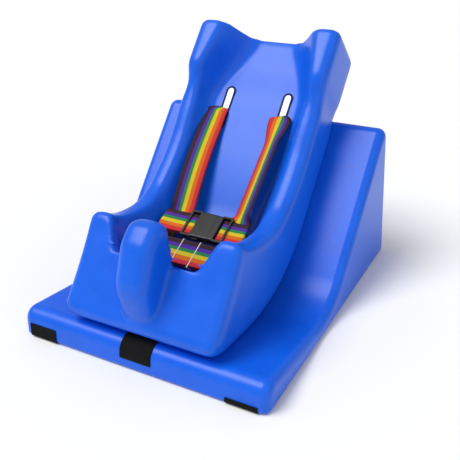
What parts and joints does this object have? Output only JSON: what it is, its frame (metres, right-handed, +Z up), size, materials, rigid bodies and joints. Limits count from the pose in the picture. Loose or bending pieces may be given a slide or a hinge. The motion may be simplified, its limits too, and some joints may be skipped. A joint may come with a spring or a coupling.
{
  "type": "feeder seat",
  "caption": "Reclining foam feeder seat for a child: a moulded bucket with pommel and webbing harness that lies in the trough of a foam floor wedge and tips up on its front foot.",
  "frame": {"origin": "middle of the wedge's footprint on the floor, within 2 mm of the middle of the whole object's box", "axes": "+Z up, +Y from the pommel towards the head end, +X to the right as seen from the front"},
  "size_m": [0.4, 0.4963, 0.3912],
  "materials": {
    "coated_foam": "seamless satin-gloss blue coating on moulded foam",
    "webbing": "woven webbing with lengthwise rainbow stripes",
    "buckle_plastic": "black moulded plastic, satin",
    "liner_plastic": "pale tube with a dark blue rim, satin",
    "hook_tape": "black hook tape",
    "loop_tape": "black loop tape",
    "tie_band": "cream elastic band"
  },
  "bodies": {
    "wedge": {"wedge_block": "coated_foam", "wedge_loop_strip": "loop_tape", "base_strip_left": "loop_tape", "base_strip_right": "loop_tape"},
    "seat": {"seat_shell": "coated_foam", "pan_hook_strip": "hook_tape", "back_hook_strip": "hook_tape", "slot_liner_left": "liner_plastic", "slot_liner_right": "liner_plastic", "shoulder_strap_left": "webbing", "shoulder_strap_right": "webbing", "hip_strap": "webbing", "lap_strap_left": "webbing", "buckle_socket": "buckle_plastic", "strap_tail": "webbing", "tie_band_left": "tie_band", "tie_band_right": "tie_band", "lap_strap_right": "webbing"},
    "plug": {"buckle_plug": "buckle_plastic"},
    "arm_upper": {"buckle_arm_upper": "buckle_plastic"},
    "arm_lower": {"buckle_arm_lower": "buckle_plastic"}
  },
  "joints": [
    {"name": "seat_tilt", "type": "hinge", "parent": "wedge", "child": "seat", "pos_m": [0, -0.2288, 0.0516], "axis": [1, 0, 0], "range_deg": [0, 20]},
    {"name": "buckle_release", "type": "slide", "parent": "seat", "child": "plug", "axis": [1, 0, 0], "range_m": [0, 0.025], "deforming": ["lap_strap_right", "shoulder_strap_right", "buckle_arm_upper", "buckle_arm_lower"]},
    {"name": "arm_squeeze_upper", "type": "hinge", "parent": "plug", "child": "arm_upper", "pos_m": [0.016, -0.03566, 0.14158], "axis": [0, -0.4226, 0.9063], "range_deg": [0, 3], "stiffness_Nm_per_rad": 0.2},
    {"name": "arm_squeeze_lower", "type": "hinge", "parent": "plug", "child": "arm_lower", "pos_m": [0.016, -0.06648, 0.12722], "axis": [0, -0.4226, 0.9063], "range_deg": [-3, 0], "stiffness_Nm_per_rad": 0.2}
  ],
  "couplings": [
    {"joint": "arm_squeeze_lower", "follows": "arm_squeeze_upper", "ratio": -1}
  ]
}
